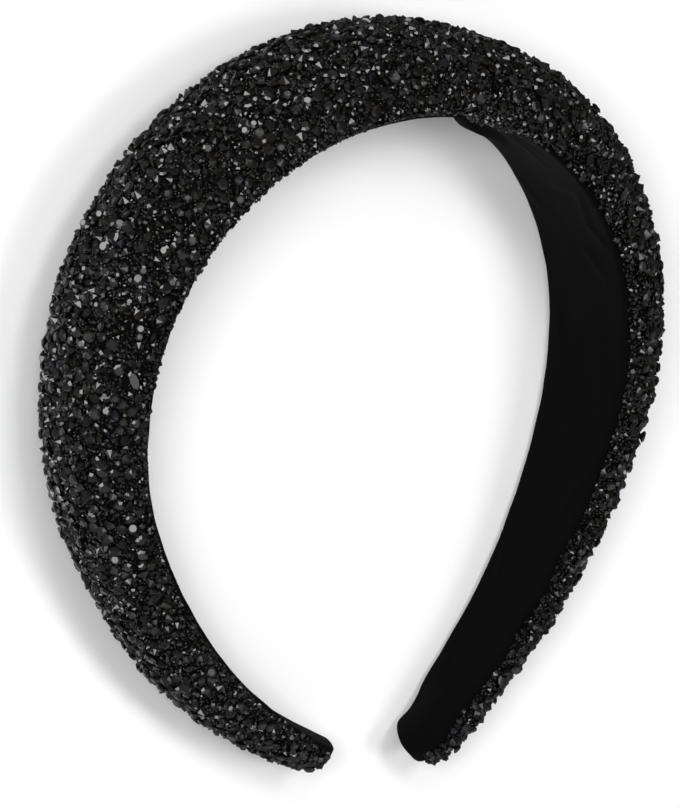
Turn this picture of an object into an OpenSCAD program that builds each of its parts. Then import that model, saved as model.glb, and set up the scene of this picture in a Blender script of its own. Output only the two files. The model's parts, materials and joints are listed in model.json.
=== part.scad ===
/* [Band] */
// Radius of the inner face over the crown of the head
crown_radius = 61.4; // [55:0.2:68]
// Width over the crown, crystals included
crown_width = 40.4; // [32:0.2:46]
// Thickness over the crown, lining and crystals included
crown_depth = 17; // [14:0.5:20]
// Radius of the corners at each tip
tip_radius = 3.8; // [2.4:0.1:4.6]
// Share by which the left arm curls more than the right one
uneven_curl = 0.086; // [0:0.002:0.1]
// Share by which the right arm is longer than the left one
uneven_length = 0.018; // [0:0.002:0.03]
// Length by which the lower corner of the right tip is cut back
tip_slant = 4.5; // [0:0.5:5]
// Distance by which the right tip opens outwards
tip_flare = 0.8; // [0:0.1:1.2]

/* [Padding] */
// Squareness of the cross-section's sides, where 1 is an ellipse
side_squareness = 1.15; // [1:0.01:1.4]
// Share of the depth at which the band is widest, from the inner face
widest_share = 0.16; // [0.12:0.01:0.3]

/* [Lining] */
// Thickness of the lining cloth
lining_wall = 1.2; // [1:0.1:1.6]
// Share of the band's width that the lining covers
lining_share = 0.89; // [0.8:0.01:0.92]
// Height of the lip that the lining turns up round each tip
lip_height = 3.6; // [2.6:0.1:4]
// Rise of the lining's middle at each tip
lining_crown = 1.2; // [0:0.1:1.5]
// Gap that keeps neighbouring pieces apart
gap = 0.2; // [0.15:0.05:0.3]

/* [Crystals] */
// Height of the crystal crust over the padded cover
crust = 1.2; // [1:0.1:1.5]
// Width of the largest round crystal
crystal_size = 2.7; // [2:0.1:3]
// Height of a crystal from its point to its table, as a share of its width
crystal_rise = 0.4; // [0.35:0.01:0.5]
// Number of round crystals
crystal_count = 236; // [120:2:240]
// Length and width of the one leaf-shaped crystal
leaf_size = [4.8, 2.3]; // [2:0.1:5]

/* [Hidden] */

// Inner face from crown to tip: radius as a share of crown_radius, degrees that it turns
RADIUS = 0;
TURN = 1;
ARCS = [[1, 73.8], [1.07, 32.9], [2.1, 31.1], [2.52, 5.3]];

// Band along an arm: share of the arm, share of crown_width, share of crown_depth
SHARE = 0;
WIDTH = 1;
DEPTH = 2;
SECTIONS = [
    [0, 1, 1],
    [0.25, 0.885, 1.01],
    [0.5, 0.775, 0.9],
    [0.75, 0.575, 0.75],
    [0.93, 0.46, 0.56],
    [1, 0.39, 0.4]
];

LEFT = -1;
RIGHT = 1;
arm_steps = 28;
tip_steps = 4;
ring_steps = 18;
tip_width_cut = 0.9;
tip_depth_cut = 0.36;
flare_reach = 18;
crown_reach = 32;
lining_bevel = 0.35;
leaf_place = [-81.3, 16];
leaf_spin = 30;
golden = (sqrt(5) - 1) / 2;

function sum(v, i = 0) = i == len(v) ? 0 : v[i] + sum(v, i + 1);
function flat(lists) = [for (l = lists) each l];
function unit(v) = v / norm(v);
function side_of(s) = s < 0 ? LEFT : RIGHT;
function eased(t) = let (u = min(max(t, 0), 1)) u * u * (3 - 2 * u);

// Arcs of one arm: the left arm curls a little more than the right one
function arm_arcs(side) = [for (i = [0:len(ARCS) - 1])
    let (curl = i == 0 ? 1 : 1 - side * uneven_curl / 2)
    [ARCS[i][RADIUS] * crown_radius / curl, ARCS[i][TURN] * curl]];
function arc_length(arc) = arc[RADIUS] * arc[TURN] * PI / 180;
function arm_length(side) =
    sum([for (arc = arm_arcs(side)) arc_length(arc)]) * (1 + side * uneven_length / 2);
left_arcs = arm_arcs(LEFT);
right_arcs = arm_arcs(RIGHT);
left_length = arm_length(LEFT);
right_length = arm_length(RIGHT);
function reach(s) = s < 0 ? left_length : right_length;
function to_tip(s) = reach(s) - abs(s);

// Place and heading, [x, y, degrees], after length s along arcs
function turned(p, radius, s) =
    let (h = p[2] + s / radius * 180 / PI)
    [p[0] + radius * (sin(h) - sin(p[2])), p[1] + radius * (cos(h) - cos(p[2])), h];
function along(arcs, s, p = [0, 0, 0], i = 0) =
    i == len(arcs) - 1 || s <= arc_length(arcs[i])
        ? turned(p, arcs[i][RADIUS], s)
        : along(arcs, s - arc_length(arcs[i]), turned(p, arcs[i][RADIUS], arc_length(arcs[i])), i + 1);

// Point at length s along the inner face, negative on the left arm, then out from it and across it
function at(s, out, across) =
    let (
        p = along(s < 0 ? left_arcs : right_arcs, abs(s)),
        near = s < 0 ? 0 : eased((flare_reach - to_tip(s)) / (flare_reach - tip_radius)),
        o = out + near * tip_flare,
        back = near * tip_slant * (1 - across / half_width(s)) / 2
    )
    [
        side_of(s) * (p[0] + o * sin(p[2]) - back * cos(p[2])),
        p[1] + o * cos(p[2]) + back * sin(p[2]),
        across
    ];

// Smooth value between the rows of SECTIONS, level at the crown
function slope(column, i) =
    let (a = max(i - 1, 0), b = min(i + 1, len(SECTIONS) - 1))
    i == 0 ? 0 : (SECTIONS[b][column] - SECTIONS[a][column]) / (SECTIONS[b][SHARE] - SECTIONS[a][SHARE]);
function row_at(share, i = 0) =
    i == len(SECTIONS) - 2 || share <= SECTIONS[i + 1][SHARE] ? i : row_at(share, i + 1);
function section(s, column) =
    let (
        share = abs(s) / reach(s),
        i = row_at(share),
        span = SECTIONS[i + 1][SHARE] - SECTIONS[i][SHARE],
        t = (share - SECTIONS[i][SHARE]) / span
    )
    SECTIONS[i][column] * (1 - t) * (1 - t) * (1 + 2 * t)
        + SECTIONS[i + 1][column] * t * t * (3 - 2 * t)
        + slope(column, i) * span * t * (1 - t) * (1 - t)
        - slope(column, i + 1) * span * t * t * (1 - t);

// Half width and depth of the whole band, cut back round the corners of a tip
function corner(s) =
    let (d = tip_radius - to_tip(s))
    d > 0 ? tip_radius - sqrt(tip_radius * tip_radius - d * d) : 0;
function half_width(s) = section(s, WIDTH) * crown_width / 2 - tip_width_cut * corner(s);
function depth(s) = section(s, DEPTH) * crown_depth - tip_depth_cut * corner(s);

// Lengths at which rings are set, closer round the corners, from inset short of each tip
function arm_stops(side, inset) = concat(
    [for (i = [0:arm_steps - 1]) i / arm_steps * (arm_length(side) - tip_radius)],
    [for (i = [tip_steps:-1:0])
        arm_length(side) - inset - (tip_radius - inset) * (1 - cos(90 * i / tip_steps))]
);
function both_arms(left, right) = concat([for (i = [len(left) - 1:-1:1]) -left[i]], right);

// Closed skin over rings of points
module skin(rings) {
    n = len(rings[0]);
    last = len(rings) - 1;
    sides = [for (i = [0:last - 1], j = [0:n - 1])
        let (k = (j + 1) % n)
        [i * n + j, i * n + k, (i + 1) * n + k, (i + 1) * n + j]];
    start = [for (j = [n - 1:-1:0]) j];
    end = [for (j = [0:n - 1]) last * n + j];
    polyhedron(points = flat(rings), faces = concat(sides, [start], [end]));
}

// Point of the padded cover at length s, turned a degrees over it from one edge to the other
cover_back = lining_wall + gap;
function cover_point(s, a) =
    let (
        edge = cover_back + widest_share * (depth(s) - cover_back),
        across = sign(cos(a)) * pow(abs(cos(a)), 1 / side_squareness),
        out = pow(abs(sin(a)), side_squareness - 0.05)
    )
    at(s, edge + out * (depth(s) - crust - edge), across * (half_width(s) - crust));
function cover_ring(s) = concat(
    [for (j = [0:ring_steps]) cover_point(s, 180 * j / ring_steps)],
    [for (across = [-1, 1]) at(s, cover_back, across * (half_width(s) - crust - gap))]
);
cover_rings = let (inset = lining_wall + gap)
    [for (s = both_arms(arm_stops(LEFT, inset), arm_stops(RIGHT, inset))) cover_ring(s)];

// Bevelled strip of lining, thicker where its lip stands round the tip
function lining_ring(s) =
    let (
        half = lining_share * half_width(s),
        top = to_tip(s) < lining_wall + gap / 4 ? lip_height : lining_wall,
        low = lining_bevel,
        crown = lining_crown * eased(1 - to_tip(s) / crown_reach)
    )
    [
        at(s, low, half), at(s, top - low, half), at(s, top, half - low), at(s, top, low - half),
        at(s, top - low, -half), at(s, low, -half), at(s, 0, low - half),
        at(s, -crown, 0), at(s, 0, half - low)
    ];
function lining_stops(side) =
    let (lip = arm_length(side) - lining_wall)
    concat(
        [for (s = arm_stops(side, 0)) if (s < lip - gap) s],
        [lip - gap / 2, lip, lip + lining_wall / 2, arm_length(side)]
    );
lining_rings = [for (s = both_arms(lining_stops(LEFT), lining_stops(RIGHT))) lining_ring(s)];

// Cut stone with a table, eight crown facets and eight below: its width along u and v, its rise along w
table_share = 0.56;
leaf_table_share = 0.8;
girdle_share = 0.58;
function stone(p, u, v, w, size, table) = concat(
    let (rise = min(size) * crystal_rise)
    [for (ring = [[table, 1], [1, girdle_share]], a = [0:45:315])
        p + ring[0] * (u * cos(a) * size[0] + v * sin(a) * size[1]) / 2 + ring[1] * rise * w],
    [p]
);
stone_faces = concat(
    [[for (i = [7:-1:0]) i]],
    [for (i = [0:7]) let (k = (i + 1) % 8) [i, k, k + 8, i + 8]],
    [for (i = [0:7]) let (k = (i + 1) % 8) [i + 8, k + 8, 16]]
);

// Stone seated on the cover at length s and a degrees over it, spun in its place and leaning a little
function seated(s, a, size, table, spin, lean) =
    let (
        p = cover_point(s, a),
        ahead = unit(cover_point(s + 0.5, a) - p),
        round_it = unit(cover_point(s, a + 1) - p),
        up = unit(unit(cross(ahead, round_it)) + lean * (ahead * cos(spin) + round_it * sin(spin))),
        u = unit(cross(round_it, up)),
        v = cross(up, u)
    )
    stone(p + up * gap, u * cos(spin) + v * sin(spin), v * cos(spin) - u * sin(spin), up, size, table);

// Even scatter: as many stones to a length as the girth there can hold
function fraction(x) = x - floor(x);
thinning = 0.55;
function share_at(f) = (1 - sqrt(1 - f * thinning * (2 - thinning))) / thinning;
tip_margin = 4;
edge_margin = 8;
most_lean = 0.2;
size_spread = 0.25;
scatter_start = 0.15;
function scattered(k) =
    let (
        f = 2 * (k + 0.5) / crystal_count - 1,
        s = sign(f) * share_at(abs(f)) * (reach(f) - tip_margin),
        a = edge_margin + (180 - 2 * edge_margin) * fraction(k * golden + scatter_start),
        size = crystal_size * (1 - size_spread * fraction(k * k * golden))
    )
    seated(s, a, [size, size], table_share, 360 * fraction(k * sqrt(2)), most_lean * fraction(k * sqrt(3)));
stones = concat(
    [for (k = [0:crystal_count - 1]) scattered(k)],
    [seated(leaf_place[0], leaf_place[1], leaf_size, leaf_table_share, leaf_spin, 0)]
);

// The band lies on its side: it leans until the wide crown and the narrow arms share one floor
first_lean = 0.3;
rest_lean = min([for (i = [floor(first_lean * arm_steps):arm_steps])
    let (s = i / arm_steps * right_length)
    atan((half_width(0) - half_width(s)) / -at(s, 0, 0)[1])]);
function leant(p) = [
    p[0],
    p[1] * cos(rest_lean) - p[2] * sin(rest_lean),
    p[1] * sin(rest_lean) + p[2] * cos(rest_lean)
];
all_points = [for (p = flat(concat(cover_rings, lining_rings, stones))) leant(p)];
function low(axis) = min([for (p = all_points) p[axis]]);
function high(axis) = max([for (p = all_points) p[axis]]);
to_origin = [-(low(0) + high(0)) / 2, -(low(1) + high(1)) / 2, -low(2)];

module laid() translate(to_origin) rotate([rest_lean, 0, 0]) children();

module padded_cover() color([0.05, 0.05, 0.06]) laid() skin(cover_rings);

module lining() color([0.07, 0.07, 0.07]) laid() skin(lining_rings);

module crystals() color([0.2, 0.2, 0.23]) laid()
    for (points = stones) polyhedron(points = points, faces = stone_faces);

padded_cover();
lining();
crystals();
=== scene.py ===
import json
import math

import bmesh
import bpy
import numpy as np
from mathutils import Matrix, Vector, noise


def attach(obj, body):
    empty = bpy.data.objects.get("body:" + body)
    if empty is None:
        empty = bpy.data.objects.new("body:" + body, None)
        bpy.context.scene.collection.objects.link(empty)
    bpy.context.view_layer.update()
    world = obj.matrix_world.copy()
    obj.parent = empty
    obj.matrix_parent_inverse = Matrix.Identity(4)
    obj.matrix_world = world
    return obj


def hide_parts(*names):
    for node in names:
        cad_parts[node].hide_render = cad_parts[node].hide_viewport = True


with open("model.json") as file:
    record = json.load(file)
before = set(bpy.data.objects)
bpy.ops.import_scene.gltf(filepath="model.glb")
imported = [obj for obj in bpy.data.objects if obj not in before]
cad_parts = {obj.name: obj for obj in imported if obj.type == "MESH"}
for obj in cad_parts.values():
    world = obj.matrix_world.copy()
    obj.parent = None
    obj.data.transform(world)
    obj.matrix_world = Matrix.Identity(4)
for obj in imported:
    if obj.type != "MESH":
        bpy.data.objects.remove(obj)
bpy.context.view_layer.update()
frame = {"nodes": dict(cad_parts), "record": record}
mm = 0.001
hair = 0.01 * mm  # places nearer than this are the same
body = "root"
stagesDone = []


def report(stage):
    stagesDone.append(stage)
    print(f"{len(stagesDone)}. {stage}")


# The band's own shape: the CAD source's sizes, and how far cloth and crust run on at the tips.
band = {
    "crownRadius": 61.4 * mm,  # inner face over the crown
    "crownWidth": 40.4 * mm,
    "crownDepth": 17 * mm,
    "tipRadius": 3.8 * mm,
    "unevenCurl": 0.086,
    "unevenLength": 0.018,
    "sideSquareness": 1.15,  # how full the section's shoulders are
    "faceSquareness": 0.05,  # and how much less over its outer face
    "widestShare": 0.16,  # of the depth, where the section is widest
    "liningWall": 1.2 * mm,
    "liningShare": 0.89,
    "lipHeight": 3.6 * mm,
    "gap": 0.2 * mm,
    "crust": 1.2 * mm,
    "tipWidthCut": 0.9,
    "tipDepthCut": 0.36,
    "tipSlant": 4.5 * mm,  # the right tip's low corner is cut back
    "tipFlare": 0.8 * mm,  # and the tip opens outwards
    "flareReach": 18 * mm,
    "toeReach": 3.8 * mm,  # cloth and crust at the right tip run on a little past the solid
    "toeDrop": 2.0 * mm,
    "toeAhead": 1.8 * mm,
    "heelAhead": 2.4 * mm,  # the left tip's low corner runs on too
    "liningCrown": 1.2 * mm,  # the lining's middle rises at both tips
    "crownReach": 32 * mm,
    "arcs": [[1, 73.8], [1.07, 32.9], [2.1, 31.1], [2.52, 5.3]],  # radius / crownRadius, degrees
    "sections": [  # share of the arm, width / crownWidth, depth / crownDepth
        [0, 1, 1], [0.25, 0.885, 1.01], [0.5, 0.775, 0.9],
        [0.75, 0.575, 0.75], [0.93, 0.46, 0.56], [1, 0.39, 0.4],
    ],
}
seat = frame["record"]["mounts"][0]  # the lining's middle at the crown, and how the band leans
seatPlace = Vector(seat["pos_m"])
restLean = math.atan2(-seat["axis"][2], -seat["axis"][1])
coverBack = band["liningWall"] + band["gap"]


def eased(t):
    u = np.clip(t, 0, 1)
    return u * u * (3 - 2 * u)


def alongBand(rows, s):
    # smooth value between rows of place along the inner face and value, both given in mm
    rows = np.array(rows, float) * mm
    place = np.clip(s, rows[0, 0], rows[-1, 0])
    i = np.clip(np.searchsorted(rows[:, 0], place) - 1, 0, len(rows) - 2)
    share = (place - rows[i, 0]) / (rows[i + 1, 0] - rows[i, 0])
    return rows[i, 1] + (rows[i + 1, 1] - rows[i, 1]) * eased(share)


def armArcs(side):
    rows = []
    for i, (radius, turn) in enumerate(band["arcs"]):
        curl = 1 if i == 0 else 1 - side * band["unevenCurl"] / 2
        rows.append((radius * band["crownRadius"] / curl, math.radians(turn * curl)))
    return rows


def armLength(side):
    return sum(radius * turn for radius, turn in armArcs(side)) * (1 + side * band["unevenLength"] / 2)


leftLength, rightLength = armLength(-1), armLength(1)


def armReach(s):
    return np.where(s < 0, leftLength, rightLength)


def sectionShare(s, column):
    rows = np.array(band["sections"], float)
    shares, values = rows[:, 0], rows[:, column]
    slopes = np.zeros(len(rows))
    slopes[1:-1] = (values[2:] - values[:-2]) / (shares[2:] - shares[:-2])
    slopes[-1] = (values[-1] - values[-2]) / (shares[-1] - shares[-2])
    share = np.abs(s) / armReach(s)
    i = np.clip(np.searchsorted(shares, share) - 1, 0, len(rows) - 2)
    span = shares[i + 1] - shares[i]
    t = (share - shares[i]) / span
    return (values[i] * (1 - t) ** 2 * (1 + 2 * t) + values[i + 1] * t * t * (3 - 2 * t)
            + slopes[i] * span * t * (1 - t) ** 2 - slopes[i + 1] * span * t * t * (1 - t))


def tipCorner(s):
    r = band["tipRadius"]
    d = np.clip(r - (armReach(s) - np.abs(s)), 0, r)
    return r - np.sqrt(r * r - d * d)


def halfWidth(s):
    return sectionShare(s, 1) * band["crownWidth"] / 2 - band["tipWidthCut"] * tipCorner(s)


def bandDepth(s):
    return sectionShare(s, 2) * band["crownDepth"] - band["tipDepthCut"] * tipCorner(s)


def bandPoint(s, out, across):
    # length along the inner face, then out from it and across it, laid on the floor as in the CAD
    s, out, across = np.broadcast_arrays(np.asarray(s, float), out, across)
    near = np.where(s < 0, 0, eased((band["flareReach"] - (armReach(s) - np.abs(s)))
                                    / (band["flareReach"] - band["tipRadius"])))
    out = out + near * band["tipFlare"]
    ahead = eased(1 - (armReach(s) - np.abs(s)) / band["toeReach"])
    toe, heel = np.where(s < 0, 0, ahead), np.where(s < 0, ahead, 0)
    share = across / halfWidth(s)
    back = (near * band["tipSlant"] * (1 - share) / 2 - toe * band["toeAhead"] * (1 - share * share / 2)
            - heel * band["heelAhead"] * (1 - share) / 2)
    across = across - toe * band["toeDrop"]
    place = np.zeros(s.shape + (3,))
    for side in (-1, 1):
        x, y, heading = np.zeros(s.shape), np.zeros(s.shape), np.zeros(s.shape)
        left = np.abs(s)
        arcs = armArcs(side)
        for i, (radius, turn) in enumerate(arcs):
            step = left if i == len(arcs) - 1 else np.minimum(left, radius * turn)
            turned = heading + step / radius
            x = x + radius * (np.sin(turned) - np.sin(heading))
            y = y + radius * (np.cos(turned) - np.cos(heading))
            heading, left = turned, left - step
        mine = (s < 0) if side < 0 else (s >= 0)
        here = np.stack([side * (x + out * np.sin(heading) - back * np.cos(heading)),
                         y + out * np.cos(heading) + back * np.sin(heading), across], -1)
        place[mine] = here[mine]
    y, z = place[..., 1].copy(), place[..., 2].copy()
    place[..., 1] = y * math.cos(restLean) - z * math.sin(restLean)
    place[..., 2] = y * math.sin(restLean) + z * math.cos(restLean)
    return place + np.array(seatPlace)


padding = {
    # the foam is a little uneven: place along the inner face, how far it swells outwards, both in mm
    "swell": [[-203, 0.6], [-190, 0], [-155, 0.6], [-128, -0.1], [-104, -0.6], [-84, -0.6], [-70, 0.2],
              [-20, -0.3], [8, 0], [28, -0.6], [46, 0.1], [60, 0.5], [84, 0.9], [112, 1.1], [126, 0.95],
              [148, 0.3], [158, 0.5], [178, -0.5], [190, 0.9], [203, 1.4]],
}


def coverPoint(s, turn, sunk=0.0):
    # point of the padded cover, turned from its high edge (0) over it to its low edge (pi)
    depth, half = bandDepth(s) + alongBand(padding["swell"], s), halfWidth(s)
    edge = coverBack + band["widestShare"] * (depth - coverBack)
    across = np.sign(np.cos(turn)) * np.abs(np.cos(turn)) ** (1 / band["sideSquareness"])
    out = np.abs(np.sin(turn)) ** (band["sideSquareness"] - band["faceSquareness"])
    return bandPoint(s, edge + out * (depth - band["crust"] - sunk - edge),
                     across * (half - band["crust"] - sunk))


# Camera at the photograph's angle to the band.
camera = {
    "yaw": 33.9,  # degrees round the band's length
    "pitch": 20.65,
    "roll": 0.08,
    "aim": (0, -75 * mm, 0),  # from the crown's inner face, in the band's own plane
    "distance": 1287.4 * mm,
    "lens": 263.8,  # mm
    "sensor": 36,
    "shift": (-16.2, 28.2),  # in pixels of the photograph
    "photoHeight": 808,
    "clip": (0.05, 20),  # metres
}


def makeCamera():
    turn = (Matrix.Rotation(restLean, 4, "X") @ Matrix.Rotation(math.radians(-camera["yaw"]), 4, "Y")
            @ Matrix.Rotation(math.radians(-camera["pitch"]), 4, "X")
            @ Matrix.Rotation(math.radians(-camera["roll"]), 4, "Z"))
    aim = seatPlace + Matrix.Rotation(restLean, 3, "X") @ Vector(camera["aim"])
    data = bpy.data.cameras.new("photoCamera")
    data.sensor_width = camera["sensor"]
    data.lens = camera["lens"]
    data.shift_x, data.shift_y = (pixels / camera["photoHeight"] for pixels in camera["shift"])
    data.clip_start, data.clip_end = camera["clip"]
    made = bpy.data.objects.new("photoCamera", data)
    made.matrix_world = Matrix.Translation(aim + turn.to_3x3() @ Vector((0, 0, camera["distance"]))) @ turn
    bpy.context.scene.collection.objects.link(made)
    bpy.context.scene.camera = made
    return made, aim


photoCamera, aimPoint = makeCamera()
cameraTurn = photoCamera.matrix_world.to_3x3()
report("camera placed")


# Materials.
def newMaterial(name):
    made = bpy.data.materials.new(name)
    made.use_nodes = True
    return made, made.node_tree.nodes, made.node_tree.links, made.node_tree.nodes["Principled BSDF"]


def addNode(nodes, kind, settings=None, **inputs):
    made = nodes.new(kind)
    for key, value in (settings or {}).items():
        setattr(made, key, value)
    for key, value in inputs.items():
        made.inputs[key.replace("_", " ")].default_value = value
    return made


def setRamp(ramp, stops, first, middle, last):
    elements = ramp.color_ramp.elements
    elements[0].position, elements[0].color = stops[0], first
    elements[1].position, elements[1].color = stops[2], last
    elements.new(stops[1]).color = middle


jetLook = {
    "deep": (0.0017, 0.0018, 0.0023, 1),
    "pale": (0.008, 0.0083, 0.0105, 1),
    "warm": (0.0062, 0.0052, 0.0036, 1),
    "ior": 1.55,
    "polish": (0.05, 0.16),  # roughness of the cut stones
    "beadPolish": (0.22, 0.34),  # and of the small ones
    "grain": 260.0,  # per metre, about the width of one or two stones
    "stops": (0.35, 0.8, 1.0),  # of the grain and the stone's own tone together: deep, warm, pale
    "wearGrain": 1400.0,  # per metre; the faces aren't quite even
    "wearStrength": 0.12,
    "wearDepth": 0.04 * mm,
}


def jetMaterial(name, polish):
    made, nodes, links, shader = newMaterial(name)
    shader.inputs["IOR"].default_value = jetLook["ior"]
    where = addNode(nodes, "ShaderNodeTexCoord")
    grain = addNode(nodes, "ShaderNodeTexNoise", Scale=jetLook["grain"], Detail=1.0)
    tone = addNode(nodes, "ShaderNodeAttribute", {"attribute_name": "tone"})
    both = addNode(nodes, "ShaderNodeMath", {"operation": "ADD"})
    ramp = addNode(nodes, "ShaderNodeValToRGB")
    setRamp(ramp, jetLook["stops"], jetLook["deep"], jetLook["warm"], jetLook["pale"])
    rough = addNode(nodes, "ShaderNodeMapRange", To_Min=polish[0], To_Max=polish[1])
    wear = addNode(nodes, "ShaderNodeTexNoise", Scale=jetLook["wearGrain"], Detail=2.0)
    bump = addNode(nodes, "ShaderNodeBump", Strength=jetLook["wearStrength"], Distance=jetLook["wearDepth"])
    links.new(where.outputs["Object"], grain.inputs["Vector"])
    links.new(where.outputs["Object"], wear.inputs["Vector"])
    links.new(grain.outputs["Fac"], both.inputs[0])
    links.new(tone.outputs["Fac"], both.inputs[1])
    links.new(both.outputs[0], ramp.inputs["Fac"])
    links.new(ramp.outputs["Color"], shader.inputs["Base Color"])
    links.new(grain.outputs["Fac"], rough.inputs["Value"])
    links.new(rough.outputs["Result"], shader.inputs["Roughness"])
    links.new(wear.outputs["Fac"], bump.inputs["Height"])
    links.new(bump.outputs["Normal"], shader.inputs["Normal"])
    return made


clothLook = {
    "thread": 0.32 * mm,  # pitch of the weave
    "waver": 0.6,  # of its threads
    "slubGrain": 90.0,  # per metre
    "slub": 0.5,  # how much the thick and thin threads change height and tone
    "sheenRough": 0.45,
    "gloss": 0.05,
    "rough": (0.82, 0.95),
    "relief": 0.5,  # strength of the bump
    "lining": {"dark": (0.0014, 0.0013, 0.0012, 1), "pale": (0.0022, 0.002, 0.0018, 1),
               "sheen": 0.015, "height": 0.03 * mm},
    "cover": {"dark": (0.0013, 0.0013, 0.0014, 1), "pale": (0.0033, 0.0033, 0.0036, 1),
              "sheen": 0.0, "height": 0.05 * mm},
}
wavePitch = 0.314  # metres between the crests of a wave texture of scale 1


def clothMaterial(name, look):
    # plain weave from two crossed waves on the piece's own map, which is in metres along and across
    made, nodes, links, shader = newMaterial(name)
    shader.inputs["Sheen Weight"].default_value = look["sheen"]
    shader.inputs["Sheen Roughness"].default_value = clothLook["sheenRough"]
    shader.inputs["Specular IOR Level"].default_value = clothLook["gloss"]
    where = addNode(nodes, "ShaderNodeUVMap", {"uv_map": "cloth"})
    waves = []
    for direction in ("X", "Y"):
        wave = addNode(nodes, "ShaderNodeTexWave", {"bands_direction": direction, "wave_profile": "SIN"},
                       Scale=wavePitch / clothLook["thread"], Distortion=clothLook["waver"],
                       Detail=1.0, Detail_Scale=2.0)
        links.new(where.outputs["UV"], wave.inputs["Vector"])
        waves.append(wave)
    weave = addNode(nodes, "ShaderNodeMath", {"operation": "MULTIPLY"})
    slub = addNode(nodes, "ShaderNodeTexNoise", Scale=clothLook["slubGrain"], Detail=4.0, Roughness=0.6)
    height = addNode(nodes, "ShaderNodeMath", {"operation": "MULTIPLY_ADD"})
    height.inputs[1].default_value = clothLook["slub"]
    mix = addNode(nodes, "ShaderNodeMix", {"data_type": "RGBA"})
    mix.inputs["A"].default_value, mix.inputs["B"].default_value = look["dark"], look["pale"]
    rough = addNode(nodes, "ShaderNodeMapRange", To_Min=clothLook["rough"][0], To_Max=clothLook["rough"][1])
    bump = addNode(nodes, "ShaderNodeBump", Strength=clothLook["relief"], Distance=look["height"])
    links.new(where.outputs["UV"], slub.inputs["Vector"])
    links.new(waves[0].outputs["Fac"], weave.inputs[0])
    links.new(waves[1].outputs["Fac"], weave.inputs[1])
    links.new(slub.outputs["Fac"], height.inputs[0])
    links.new(weave.outputs[0], height.inputs[2])
    links.new(height.outputs[0], mix.inputs["Factor"])
    links.new(mix.outputs["Result"], shader.inputs["Base Color"])
    links.new(slub.outputs["Fac"], rough.inputs["Value"])
    links.new(rough.outputs["Result"], shader.inputs["Roughness"])
    links.new(height.outputs[0], bump.inputs["Height"])
    links.new(bump.outputs["Normal"], shader.inputs["Normal"])
    return made


floorLook = {
    "dark": (0.85, 0.85, 0.85, 1),
    "pale": (0.87, 0.87, 0.87, 1),
    "cloud": 3.0,  # per metre
    "gloss": 0.05,
    "rough": 0.9,
}


def floorMaterial():
    made, nodes, links, shader = newMaterial("studio_floor")
    shader.inputs["Specular IOR Level"].default_value = floorLook["gloss"]
    shader.inputs["Roughness"].default_value = floorLook["rough"]
    where = addNode(nodes, "ShaderNodeTexCoord")
    cloud = addNode(nodes, "ShaderNodeTexNoise", Scale=floorLook["cloud"], Detail=2.0)
    mix = addNode(nodes, "ShaderNodeMix", {"data_type": "RGBA"})
    mix.inputs["A"].default_value, mix.inputs["B"].default_value = floorLook["dark"], floorLook["pale"]
    links.new(where.outputs["Object"], cloud.inputs["Vector"])
    links.new(cloud.outputs["Fac"], mix.inputs["Factor"])
    links.new(mix.outputs["Result"], shader.inputs["Base Color"])
    return made


jet = jetMaterial("jet_crystal", jetLook["polish"])
beadJet = jetMaterial("jet_bead", jetLook["beadPolish"])
liningCloth = clothMaterial("lining_cloth", clothLook["lining"])
coverCloth = clothMaterial("cover_cloth", clothLook["cover"])
report("materials made")


def finishPiece(made, material, slot, *replaced):
    bpy.context.scene.collection.objects.link(made)
    made.data.materials.append(material)
    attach(made, body)
    if replaced:
        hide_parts(*replaced)
    return made


def weavePlaces(table, stops):
    # metres along the band and round each ring, for the weave
    girth = np.linalg.norm(table - np.roll(table, 1, 1), axis=-1)
    girth[:, 0] = 0
    along = np.broadcast_to(stops[:, None], girth.shape)
    return np.stack([along, np.cumsum(girth, 1)], -1)


def bandTube(name, stops, ringCount, place):
    # tube with a ring at each stop along the band, whose points the place function sets
    bm = bmesh.new()
    bmesh.ops.create_cone(bm, cap_ends=True, segments=ringCount, radius1=1, radius2=1, depth=1)
    # the edges along the tube, which is one unit long here
    upright = [e for e in bm.edges if abs(e.verts[0].co.z - e.verts[1].co.z) > 0.5]
    bmesh.ops.subdivide_edges(bm, edges=upright, cuts=len(stops) - 2, use_grid_fill=True)
    bm.verts.ensure_lookup_table()
    co = np.array([v.co for v in bm.verts])
    ring = np.round(np.arctan2(co[:, 1], co[:, 0]) / (2 * math.pi / ringCount)).astype(int) % ringCount
    stop = np.round((co[:, 2] + 0.5) * (len(stops) - 1)).astype(int)
    table = place(np.array(stops))
    weave = weavePlaces(table, np.array(stops))
    for v, r, k in zip(bm.verts, ring, stop):
        v.co = table[k, r]
    bm.verts.index_update()
    layer = bm.loops.layers.uv.new("cloth")
    for f in bm.faces:
        f.smooth = len(f.verts) == 4
        # the seam: a face between a ring's last point and its first
        wraps = f.smooth and {0, ringCount - 1} <= {int(ring[v.index]) for v in f.verts}
        for loop in f.loops:
            r, k = int(ring[loop.vert.index]), int(stop[loop.vert.index])
            u, v = weave[k, r]
            loop[layer].uv = (u, v - weave[k, -1, 1] if wraps and r == ringCount - 1 else v)
    bmesh.ops.recalc_face_normals(bm, faces=bm.faces)
    if bm.calc_volume(signed=True) < 0:  # a thin bent strip can come out turned inside out
        bmesh.ops.reverse_faces(bm, faces=bm.faces)
    mesh = bpy.data.meshes.new(name)
    bm.to_mesh(mesh)
    bm.free()
    return bpy.data.objects.new(name, mesh)


def endStops(side, inset, count, tipCount):
    # even stops along an arm, then closer ones round its tip
    length, r = armLength(side), band["tipRadius"]
    even = [i / count * (length - r) for i in range(count)]
    return even + [length - inset - (r - inset) * (1 - math.cos(math.pi / 2 * i / tipCount))
                   for i in range(tipCount, -1, -1)]


def bothArms(left, right):
    return [-s for s in left[:0:-1]] + right


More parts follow.
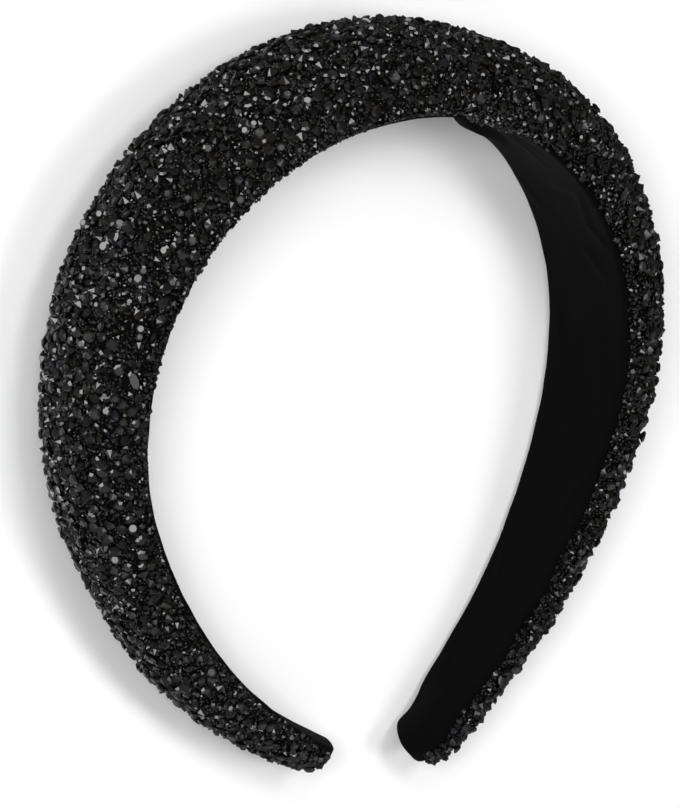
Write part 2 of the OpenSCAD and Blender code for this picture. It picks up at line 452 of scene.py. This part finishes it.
# Padded cover: foam under stretched cloth, which the crystals are glued to.
cover = {
    "name": "padded_cover_cloth",
    "ringPoints": 44,
    "backPoints": 6,  # of them, on its flat inner side
    "stops": 110,  # along each arm
    "tipStops": 6,
    "sunk": 0.25 * mm,  # under the CAD surface, so that the seated crystals stay clear
    "clear": 0.1 * mm,  # more room to the lining than in the CAD
    "swell": 0.12 * mm,  # small unevenness of the foam under the cloth
    "swellGrain": 120,  # per metre
    "fill": 0.9,
}


def coverRings(stops):
    count, backPoints = cover["ringPoints"], cover["backPoints"]
    turns = np.linspace(0, math.pi, count - backPoints)
    s = stops[:, None]
    over = coverPoint(s, turns[None, :], cover["sunk"])
    half = halfWidth(s) - band["crust"] - band["gap"] - cover["sunk"]
    back = bandPoint(s, coverBack + cover["clear"], half * np.linspace(-1, 1, backPoints)[None, :])
    table = np.concatenate([over, back], 1)
    for row in table:
        for j in range(1, count - backPoints - 1):
            push = noise.noise(Vector(row[j]) * cover["swellGrain"])
            outward = (Vector(row[j]) - Vector(row[count - backPoints // 2])).normalized()
            row[j] += np.array(outward) * cover["swell"] * push
    return table


def makeCover():
    inset = coverBack + cover["clear"]
    left, right = (endStops(side, inset, cover["stops"], cover["tipStops"]) for side in (-1, 1))
    made = bandTube(cover["name"], bothArms(left, right), cover["ringPoints"], coverRings)
    finishPiece(made, coverCloth, "cover_cloth", "padded_cover")


makeCover()
report("padded cover made")


# Lining: a strip of matte cloth with turned edges, stretched along the inner face and up round each tip.
lining = {
    "name": "lining_strip",
    "faceCount": 31,  # points across each face
    "rimCount": 4,  # and round each corner of its edges
    "stops": 150,  # along each arm
    "tipStops": 8,
    "lipStops": (0.1 * mm, 0.05 * mm, 0.35 * mm),  # free room before the lip, one just before, one after
    "endTurns": (0, 0.5, 0.95, 1.25, math.pi / 2),  # radians round each end's edge
    "edgeRound": 0.5 * mm,
    "endRound": 0.5 * mm,
    "calmReach": 12 * mm,  # smooth towards the tips
    "spareReach": 4 * mm,
    "ripple": 0.22 * mm,  # waver of its edges
    "rippleGrain": 140,  # per metre
    "wrinkle": 0.16 * mm,
    "wrinkleGrain": (60, 150),  # per metre, along and across
    "slantGrain": (190, 90, 60),  # finer slanted wrinkles
    "slantShare": 0.8,
    "foldPlace": 43.5 * mm,  # rolled fold on the right of the crown, at the low edge
    "foldLength": 5.5 * mm,
    "foldRise": 2.0 * mm,
    "foldPull": 0.4 * mm,
    "foldStart": 0.48,  # shares of half the lining's width
    "foldSpan": 0.25,
    "foldHollow": 0.7 * mm,  # the cloth sinks beside it
    "hollowPlace": 0.34,
    "hollowSpan": 0.13,
    "areaSamples": 400,  # places along it where its width is taken for its area
    # width beyond the CAD's: place along the inner face and spare width, both in mm
    "highSpare": [[-203, 0.3], [-180, 0.1], [-150, -0.5], [-60, -0.5], [-30, -1.2], [22, -1.2], [50, 0.2],
                  [120, 0.1], [140, -0.1], [150, -0.6], [158, -0.2], [168, -0.9], [176, -0.4], [190, -0.7],
                  [203, -0.3]],
    "lowSpare": [[-203, 0.3], [20, 0.3], [30, -0.2], [44, 0.6], [60, 0.6], [84, 0.35], [140, 0.6],
                 [172, 0.6], [203, 0.2]],
    "creases": [  # from (place in mm, share of the width) to (place, share), breadth and rise in mm
        [(33, 0.45), (47, 0.52), 1.4, 0.6], [(36, 0.15), (52, 0.3), 2.2, 0.5],
        [(60, 0.72), (70, 0.5), 1.1, 0.5], [(70, 0.5), (75, 0.88), 1.1, 0.42],
        [(78, 0.2), (84, 0.6), 1.2, 0.3], [(64, -0.2), (62, 0.6), 0.9, -0.4],
        [(64, -0.95), (70, -0.7), 1.4, 0.35], [(96, -0.9), (108, -0.55), 1.6, 0.2],
        [(128, 0.85), (140, 0.5), 1.5, 0.2], [(176, -0.9), (190, -0.4), 1.6, 0.22],
        [(150, -0.8), (162, -0.5), 1.5, 0.2], [(-40, 0.5), (-52, 0.2), 1.2, 0.3],
        [(-68, -0.8), (-60, -0.4), 1.2, 0.28], [(-90, 0.7), (-104, 0.4), 1.5, 0.25],
        [(-150, -0.6), (-138, 0.1), 1.4, 0.22],
    ],
    "creaseFade": (0.12, 0.76),  # start and span of the part of a half wave that it rises and falls in
    "creaseReach": 20,  # mm along the band
}


def creaseAt(s, across, half):
    rise = 0.0
    fadeStart, fadeSpan = lining["creaseFade"]
    for (s0, share0), (s1, share1), breadth, height in lining["creases"]:
        if abs(s / mm - (s0 + s1) / 2) > lining["creaseReach"]:
            continue
        start, way = Vector((s0, share0 * half / mm)), Vector((s1 - s0, (share1 - share0) * half / mm))
        here = Vector((s, across)) / mm - start
        t = min(max(here.dot(way) / way.length_squared, 0), 1)
        fade = math.sin(math.pi * (fadeStart + fadeSpan * t))
        rise += height * mm * fade * math.exp(-((here - way * t).length / breadth) ** 2)
    return rise


def wrinkleAt(s, across):
    # the last number of each place picks another layer of the same noise
    slant = lining["slantGrain"]
    push = noise.noise(Vector((s * lining["wrinkleGrain"][0], across * lining["wrinkleGrain"][1], 1.0)))
    finer = noise.noise(Vector((s * slant[0] + across * slant[1], across * slant[2], 5.0)))
    return lining["wrinkle"] * (push + lining["slantShare"] * finer)


def foldAt(s, share):
    # how much of the rolled fold, and of the hollow beside it, is here
    near = math.exp(-((s - lining["foldPlace"]) / lining["foldLength"]) ** 2)
    fold = near * float(eased((-share - lining["foldStart"]) / lining["foldSpan"]))
    return fold, near * math.exp(-((share + lining["hollowPlace"]) / lining["hollowSpan"]) ** 2)


def sectionRing(wide, low, high, r):
    # from the hidden face's middle over the high edge, the face that shows and the low edge, and back
    faceCount, rimCount = lining["faceCount"], lining["rimCount"]
    span = wide[0] + wide[1] - 2 * r
    quarter = [math.pi / 2 * i / (rimCount - 1) for i in range(rimCount)]
    ring = [(-(wide[1] - r) + span * i / (faceCount - 1), high) for i in range(faceCount // 2, faceCount)]
    ring += [(wide[0] - r + r * math.sin(q), high - r + r * math.cos(q)) for q in quarter[1:]]
    ring += [(wide[0] - r + r * math.cos(q), low + r - r * math.sin(q)) for q in quarter]
    ring += [(wide[0] - r - span * i / (faceCount - 1), low) for i in range(1, faceCount)]
    ring += [(-(wide[1] - r) - r * math.sin(q), low + r - r * math.cos(q)) for q in quarter[1:]]
    ring += [(-(wide[1] - r) - r * math.cos(q), high - r + r * math.sin(q)) for q in quarter]
    ring += [(-(wide[1] - r) + span * i / (faceCount - 1), high) for i in range(1, faceCount // 2)]
    return ring


def liningRings(stops):
    wall = band["liningWall"]
    rows = []
    for s in stops:
        toEnd = float(armReach(s)) - abs(s)
        half = band["liningShare"] * float(halfWidth(s))
        crown = band["liningCrown"] * float(eased(1 - toEnd / band["crownReach"]))
        top = band["lipHeight"] if toEnd < wall + hair else wall
        cut = 0.0
        if toEnd < lining["endRound"]:
            d = lining["endRound"] - toEnd
            cut = lining["endRound"] - math.sqrt(max(lining["endRound"] ** 2 - d * d, 0))
        r = min(lining["edgeRound"], (top - 2 * cut) / 2)
        calm = min(1.0, toEnd / lining["calmReach"])
        wide = [half - cut + float(alongBand(lining[edge], s)) * min(1.0, toEnd / lining["spareReach"])
                + calm * lining["ripple"] * noise.noise(Vector((s * lining["rippleGrain"], layer, 3.0)))
                for edge, layer in (("highSpare", 9.0), ("lowSpare", -9.0))]
        shaped = []
        for across, out in sectionRing(wide, cut, top - cut, r):
            share = across / half
            inner = max(0.0, 1 - out / top)  # 1 on the face that shows
            push = calm * wrinkleAt(s, across) + creaseAt(s, across, half)
            push += crown * (1 - min(1.0, share * share))
            fold, hollow = foldAt(s, share)
            push += fold * lining["foldRise"] - hollow * lining["foldHollow"]
            shaped.append((across - fold * lining["foldPull"], out - inner * push))
        rows.append(shaped)
    table = np.array(rows)
    return bandPoint(stops[:, None], table[..., 1], table[..., 0])


def liningStops(side):
    lip = armLength(side) - band["liningWall"]
    room, before, after = lining["lipStops"]
    stops = [s for s in endStops(side, 0, lining["stops"], lining["tipStops"]) if s < lip - room]
    rounded = [armLength(side) - lining["endRound"] * (1 - math.sin(a)) for a in lining["endTurns"]]
    return stops + [lip - before, lip, lip + after] + rounded


def makeLining():
    stops = bothArms(liningStops(-1), liningStops(1))
    # all but the last point of a ring, which serves the map's seam alone
    count = 2 * lining["faceCount"] + 4 * lining["rimCount"] - 5
    made = bandTube(lining["name"], stops, count, liningRings)
    finishPiece(made, liningCloth, "lining_cloth", "lining")
    s = np.linspace(-leftLength, rightLength, lining["areaSamples"])
    area = float(np.mean(2 * band["liningShare"] * halfWidth(s)) * (leftLength + rightLength))
    flat = (2 * band["liningShare"] * float(halfWidth(0.0)), leftLength + rightLength)


makeLining()
report("lining made")


# Crust: cut stones of several sizes glued in every direction over the cover and both edges.
crust = {
    "seed": 11,
    "steps": 420,  # rows of the surface that the stones are strewn on
    "across": 41,  # points from the cover's one edge to its other
    "edgeColumns": (7, 6),  # where the heights at its edges end, and over how many points they ease off
    "capRows": (0.33, 0.66, 0.98),  # rows that close it over each tip, as shares of the way to its middle
    "capMiddle": 0.65,  # how near that middle lies to the crest
    "capEdge": 0.8,  # keeps large stones off the tips
    "fromLining": 0.12 * mm,  # the crust comes right up to the lining's edge
    # how high the stones stand at the lining's edges: place along the inner face in mm and share
    "highEdge": [[-203, 0.9], [-150, 0.6], [-124, 0.6], [-108, 0.85], [-40, 0.85], [-26, 0.5], [28, 0.5],
                 [37, 1.3], [46, 1.3], [62, 1.1], [203, 1.1]],
    "lowEdge": [[-203, 0.8], [150, 0.8], [194, 0.45], [203, 0.3]],
    # how far the high edge rolls over the lining's edge, in mm
    "highRoll": [[-203, 0.5], [-190, 1.1], [-160, 0.5], [-120, 0], [15, 0], [21, 1.9], [28, 1.6], [35, 0.6],
                 [44, 0], [203, 0]],
    "overTips": (1.3, 1.05),  # how high the stones stand over the left and right tips, as shares
    "tipTuck": 0.7,  # less beside the lining
    "glue": 0.12 * mm,  # no stone's lowest point stands higher over the cover
    "overFloor": 0.02 * mm,  # and none comes nearer the floor
    "upLean": 17,  # degrees, the usual lean of a stone that lies table up
    "sideLean": (0.5, 1.9),  # radians
    "downLean": 28,  # degrees, with the table down
    "chipLong": (0.8, 1.5),  # shares of the width
    "chipBroad": (0.55, 1.0),
    "toneSpread": 0.5,
    "modelledRoom": 0.92,  # share of their radius that the CAD's crystals keep free
    "cuts": {  # sides, table's share of the width, height over the girdle and depth under it
        "chaton": (8, 0.62, 0.16, 0.42), "small": (6, 0.6, 0.16, 0.42),
        "chip": (4, 0.3, 0.28, 0.4), "grit": (3, 0.4, 0.3, 0.35),
    },
    # widths in mm, tries, how closely they lie, how near the lining they come (1: right up to it),
    # shares with the table up and on the side, and how far they stand over the cover in mm
    "tiers": [
        {"name": "crust_chatons", "cut": "chaton", "width": (2.0, 2.9), "tries": 12000, "close": 0.8,
         "near": 0.75, "up": 0.34, "side": 0.34, "top": (1.2, 1.9), "look": "jet"},
        {"name": "crust_small_chatons", "cut": "small", "width": (1.15, 1.9), "tries": 26000, "close": 0.74,
         "near": 1, "up": 0.26, "side": 0.4, "top": (0.7, 1.25), "look": "jet"},
        {"name": "crust_chips", "cut": "chip", "width": (0.8, 1.35), "tries": 30000, "close": 0.64,
         "near": 1, "up": 0.3, "side": 0.45, "top": (0.45, 0.88), "look": "jet"},
        {"name": "crust_beads", "cut": "bead", "width": (0.45, 0.75), "tries": 34000, "close": 0.62,
         "near": 1, "up": 1.0, "side": 0.0, "top": (0.4, 0.95), "look": "bead"},
        {"name": "crust_grit", "cut": "grit", "width": (0.4, 0.65), "tries": 60000, "close": 0.56,
         "near": 1, "up": 0.4, "side": 0.4, "top": (0.3, 0.75), "look": "bead"},
    ],
}


def stoneCut(kind):
    # cut stones one unit wide, table up, girdle at zero height
    bm = bmesh.new()
    if kind == "bead":
        bmesh.ops.create_icosphere(bm, subdivisions=1, radius=0.5)
    else:
        sides, table, rise, drop = crust["cuts"][kind]
        bmesh.ops.create_cone(bm, cap_ends=True, segments=sides, radius1=0.5, radius2=table / 2, depth=rise,
                              matrix=Matrix.Translation((0, 0, rise / 2)))
        base = min((f for f in bm.faces if len(f.verts) == sides), key=lambda f: f.calc_center_median().z)
        tip = bmesh.ops.poke(bm, faces=[base])["verts"][0]
        tip.co.z = -drop
    bmesh.ops.recalc_face_normals(bm, faces=bm.faces)
    bm.verts.index_update()
    points = np.array([v.co for v in bm.verts])
    faces = [[v.index for v in f.verts] for f in bm.faces]
    bm.free()
    return points, faces


def crustSurface():
    # grid over the cover from one edge of the lining to the other, closed over each tip
    s = np.linspace(-(leftLength - coverBack), rightLength - coverBack, crust["steps"])[:, None]
    rim = halfWidth(s) - band["crust"] - band["gap"]
    highSide, lowSide = (np.minimum(band["liningShare"] * halfWidth(s) + alongBand(lining[edge], s)
                                    + crust["fromLining"], rim) for edge in ("highSpare", "lowSpare"))
    over = coverPoint(s, np.linspace(0, math.pi, crust["across"])[None, :])
    roll = alongBand(crust["highRoll"], s)
    high = bandPoint(s, coverBack - np.concatenate([roll, roll / 2], 1),
                     np.concatenate([highSide, rim], 1))
    low = bandPoint(s, coverBack, -np.concatenate([rim, lowSide], 1))
    grid = np.concatenate([high, over, low], 1)
    caps = []
    for end in (0, -1):
        ring = grid[end]
        edges = 0.5 * (ring[0] + ring[-1])
        middle = edges * (1 - crust["capMiddle"]) + crust["capMiddle"] * ring[len(ring) // 2]
        rows = [ring + (middle - ring) * share for share in crust["capRows"]]
        caps.append(np.array(rows[::-1] if end == 0 else rows))
    grid = np.concatenate([caps[0], grid, caps[1]])
    column = np.arange(grid.shape[1])
    reach, ease = crust["edgeColumns"]
    fromHigh, fromLow = eased((reach - column) / ease), eased((reach - column[::-1]) / ease)
    height = (1 + (alongBand(crust["highEdge"], s) / mm - 1) * fromHigh
              + (alongBand(crust["lowEdge"], s) / mm - 1) * fromLow)
    tuck = np.ones((len(caps[0]), 1)) * (1 - crust["tipTuck"] * np.maximum(fromHigh, fromLow))
    height = np.concatenate([crust["overTips"][0] * tuck, height, crust["overTips"][1] * tuck])[..., None]
    along = np.gradient(grid, axis=0)
    around = np.gradient(grid, axis=1)
    out = np.cross(along, around)
    out /= np.maximum(np.linalg.norm(out, axis=-1, keepdims=True), 1e-12)
    edge = np.broadcast_to(fromHigh + fromLow, (crust["steps"], len(column)))
    capEdge = np.full_like(tuck, crust["capEdge"])
    edge = np.concatenate([capEdge, edge, capEdge])[..., None]
    return grid, out, along, height, edge


crustGrid, crustOut, crustAlong, crustHeight, crustEdge = crustSurface()


def strewn(count, rng):
    # even random places on the grid: place, outward direction, direction along the band, height, edge
    a, b, c, d = crustGrid[:-1, :-1], crustGrid[1:, :-1], crustGrid[1:, 1:], crustGrid[:-1, 1:]
    area = np.linalg.norm(np.cross(c - a, d - b), axis=-1).ravel()
    pick = rng.choice(len(area), count, p=area / area.sum())
    i, j = np.unravel_index(pick, a.shape[:2])
    u, v = rng.random((2, count, 1))

    def blended(values):
        return (values[i, j] * (1 - u) * (1 - v) + values[i + 1, j] * u * (1 - v)
                + values[i + 1, j + 1] * u * v + values[i, j + 1] * (1 - u) * v)

    out, along = blended(crustOut), blended(crustAlong)
    out /= np.linalg.norm(out, axis=1, keepdims=True)
    along -= out * np.sum(along * out, 1, keepdims=True)
    along /= np.maximum(np.linalg.norm(along, axis=1, keepdims=True), 1e-12)
    return blended(crustGrid), out, along, blended(crustHeight)[:, 0], blended(crustEdge)[:, 0]


cellSize = 2.4 * mm  # a little over the reach between two large stones
takenCells = {}


def cellOf(p):
    return int(p[0] // cellSize), int(p[1] // cellSize), int(p[2] // cellSize)


def isFree(p, r, close):
    x, y, z = cellOf(p)
    for i in (x - 1, x, x + 1):
        for j in (y - 1, y, y + 1):
            for k in (z - 1, z, z + 1):
                for q, other in takenCells.get((i, j, k), ()):
                    reach = close * (r + other)
                    if (p[0] - q[0]) ** 2 + (p[1] - q[1]) ** 2 + (p[2] - q[2]) ** 2 < reach * reach:
                        return False
    return True


def take(p, r):
    takenCells.setdefault(cellOf(p), []).append((p, r))


def takeModelledStones(node):
    # the crystals of the CAD keep their places
    bm = bmesh.new()
    bm.from_mesh(frame["nodes"][node].data)
    bmesh.ops.remove_doubles(bm, verts=bm.verts, dist=hair)
    seen = set()
    for first in bm.verts:
        if first in seen:
            continue
        island, queue = [], [first]
        seen.add(first)
        while queue:
            v = queue.pop()
            island.append(v.co.copy())
            for e in v.link_edges:
                w = e.other_vert(v)
                if w not in seen:
                    seen.add(w)
                    queue.append(w)
        middle = sum(island, Vector()) / len(island)
        take(tuple(middle), max((p - middle).length for p in island) * crust["modelledRoom"])
    bm.free()


def leanedAxes(tier, out, along, rng):
    # each stone's own axes: two across its girdle, and one through its table
    count = len(out)
    chance = rng.random(count)
    lean = np.where(chance < tier["up"], np.abs(rng.normal(0, math.radians(crust["upLean"]), count)),
                    np.where(chance < tier["up"] + tier["side"], rng.uniform(*crust["sideLean"], count),
                             math.pi - np.abs(rng.normal(0, math.radians(crust["downLean"]), count))))
    aside = np.cross(out, along)
    way, spin = rng.uniform(0, 2 * math.pi, (2, count))
    toward = along * np.cos(way)[:, None] + aside * np.sin(way)[:, None]
    axis = out * np.cos(lean)[:, None] + toward * np.sin(lean)[:, None]
    first = np.cross(toward, out)
    second = np.cross(axis, first)
    u = first * np.cos(spin)[:, None] + second * np.sin(spin)[:, None]
    return u, np.cross(axis, u), axis


def joinedStones(tier, rng):
    points, faces = stoneCut(tier["cut"])
    place, out, along, height, edge = strewn(tier["tries"], rng)
    width = rng.uniform(tier["width"][0], tier["width"][1], tier["tries"]) * mm
    kept = []
    for n in range(tier["tries"]):
        p = tuple(place[n])
        if edge[n] <= tier["near"] and isFree(p, width[n] / 2, tier["close"]):
            take(p, width[n] / 2)
            kept.append(n)
    place, out, along, width, height = place[kept], out[kept], along[kept], width[kept], height[kept]
    count = len(kept)
    u, v, axis = leanedAxes(tier, out, along, rng)
    stretch = np.ones((count, 3))
    if tier["cut"] in ("chip", "grit"):
        stretch[:, 0] = rng.uniform(*crust["chipLong"], count)
        stretch[:, 1] = rng.uniform(*crust["chipBroad"], count)
    local = points[None, :, :] * stretch[:, None, :] * width[:, None, None]
    turned = (local[..., 0:1] * u[:, None, :] + local[..., 1:2] * v[:, None, :]
              + local[..., 2:3] * axis[:, None, :])
    rises = np.sum(turned * out[:, None, :], -1)
    highest = rises.max(1)
    top = rng.uniform(tier["top"][0], tier["top"][1], count) * mm * height
    top = np.minimum(top, highest - rises.min(1) + crust["glue"] * height)
    placed = turned + place[:, None, :] + out[:, None, :] * (top - highest)[:, None, None]
    under = np.maximum(crust["overFloor"] - placed[..., 2].min(1), 0)
    placed[..., 2] += under[:, None]  # none goes into the floor
    size = len(points)
    mesh = bpy.data.meshes.new(tier["name"])
    allFaces = [[i + n * size for i in f] for n in range(count) for f in faces]
    mesh.from_pydata(placed.reshape(-1, 3), [], allFaces, shade_flat=tier["cut"] != "bead")
    tone = mesh.attributes.new("tone", "FLOAT", "POINT")
    tones = np.repeat(rng.random(count) * crust["toneSpread"], size)
    tone.data.foreach_set("value", tones.astype(np.float32))
    made = bpy.data.objects.new(tier["name"], mesh)
    finishPiece(made, {"jet": jet, "bead": beadJet}[tier["look"]], "jet_crystal")
    triangles = count * sum(len(f) - 2 for f in faces)
    print(f"   {tier['name']}: {count} stones, {triangles} triangles")
    return triangles


takeModelledStones("crystals")
stoneDraw = np.random.default_rng(crust["seed"])
strewnTriangles = sum(joinedStones(tier, stoneDraw) for tier in crust["tiers"])
frame["nodes"]["crystals"].data.materials.clear()
frame["nodes"]["crystals"].data.materials.append(jet)
report(f"crust strewn, {strewnTriangles} triangles")


# Floor and studio light.
studio = {
    "wall": (0.1, 0.1, 0.103, 1),  # dark flags between pale panels
    "screen": (0.211, 0.211, 0.216, 1),
    "panel": (0.636, 0.636, 0.652, 1),
    "stops": (0.38, 0.5, 0.64),  # of the patches' noise: wall, screen, panel
    "patchSize": 1.7,
    "leftToRight": (2.05, 0.42),  # the studio is brighter on the left
    "frontToCrown": (1.3, 0.37),  # and dimmer over the crown
    "floorSize": 3,  # metres from its middle to each side
    # name, direction in the camera's right, up and back, distance, size, radiance, lights the floor
    "lights": [
        ("keyLight", (-0.09, 0.03, 1.0), 2.2, 0.6, 23.0, True),
        ("sideLight", (1.38, -0.26, 1.0), 2.2, 0.6, 11.5, True),
        ("backLight", (0.15, 0.43, 1.0), 2.2, 0.6, 5.5, True),
        ("skyLight", (0.58, 0.22, 1.0), 2.2, 0.6, 12.8, True),
        ("frontGlint", (-0.1, 0.12, 1.0), 1.0, 0.39, 7.2, False),
        ("lowGlint", (-0.45, -0.5, 0.7), 0.9, 0.34, 5.6, False),
        ("rightGlint", (0.75, 0.45, 0.5), 0.9, 0.28, 3.7, False),
        ("leftGlint", (-0.85, 0.3, 0.45), 0.9, 0.37, 6.9, False),
        ("topGlint", (0.0, 0.85, 0.5), 0.9, 0.34, 7.0, False),
        ("softPanel", (0.3, -0.35, 0.9), 1.0, 0.5, 2.0, False),
    ],
}


def makeFloor():
    bm = bmesh.new()
    bmesh.ops.create_grid(bm, x_segments=2, y_segments=2, size=studio["floorSize"])
    mesh = bpy.data.meshes.new("studio_floor")
    bm.to_mesh(mesh)
    bm.free()
    floor = bpy.data.objects.new("studio_floor", mesh)
    bpy.context.scene.collection.objects.link(floor)
    mesh.materials.append(floorMaterial())
    floor.visible_glossy = False  # the crystals mirror the dim studio, not the bright floor


def makeWorld():
    world = bpy.data.worlds.new("studio")
    bpy.context.scene.world = world
    world.use_nodes = True
    back = world.node_tree.nodes["Background"]
    nodes, links = world.node_tree.nodes, world.node_tree.links
    where = addNode(nodes, "ShaderNodeTexCoord")
    patches = addNode(nodes, "ShaderNodeTexNoise", Scale=studio["patchSize"], Detail=1.0)
    ramp = addNode(nodes, "ShaderNodeValToRGB")
    setRamp(ramp, studio["stops"], studio["wall"], studio["screen"], studio["panel"])
    links.new(where.outputs["Generated"], patches.inputs["Vector"])
    links.new(patches.outputs["Fac"], ramp.inputs["Fac"])
    links.new(ramp.outputs["Color"], back.inputs["Color"])
    parts = addNode(nodes, "ShaderNodeSeparateXYZ")
    product = addNode(nodes, "ShaderNodeMath", {"operation": "MULTIPLY"})
    links.new(where.outputs["Generated"], parts.inputs["Vector"])
    for i, (axis, change) in enumerate((("X", "leftToRight"), ("Y", "frontToCrown"))):
        ranged = addNode(nodes, "ShaderNodeMapRange", From_Min=-1.0, From_Max=1.0,
                         To_Min=studio[change][0], To_Max=studio[change][1])
        links.new(parts.outputs[axis], ranged.inputs["Value"])
        links.new(ranged.outputs["Result"], product.inputs[i])
    links.new(product.outputs[0], back.inputs["Strength"])


def makeLights():
    for name, direction, distance, size, radiance, lightsFloor in studio["lights"]:
        data = bpy.data.lights.new(name, "AREA")
        data.shape, data.size, data.energy = "SQUARE", size, radiance * math.pi * size * size
        toward = (cameraTurn @ Vector(direction)).normalized()
        light = bpy.data.objects.new(name, data)
        light.matrix_world = (Matrix.Translation(aimPoint + toward * distance)
                              @ toward.to_track_quat("Z", "Y").to_matrix().to_4x4())
        light.visible_diffuse, light.visible_glossy = lightsFloor, not lightsFloor
        light.visible_camera = False
        bpy.context.scene.collection.objects.link(light)


makeFloor()
makeWorld()
makeLights()
bpy.context.scene.view_settings.view_transform = "Standard"
report("studio lit")
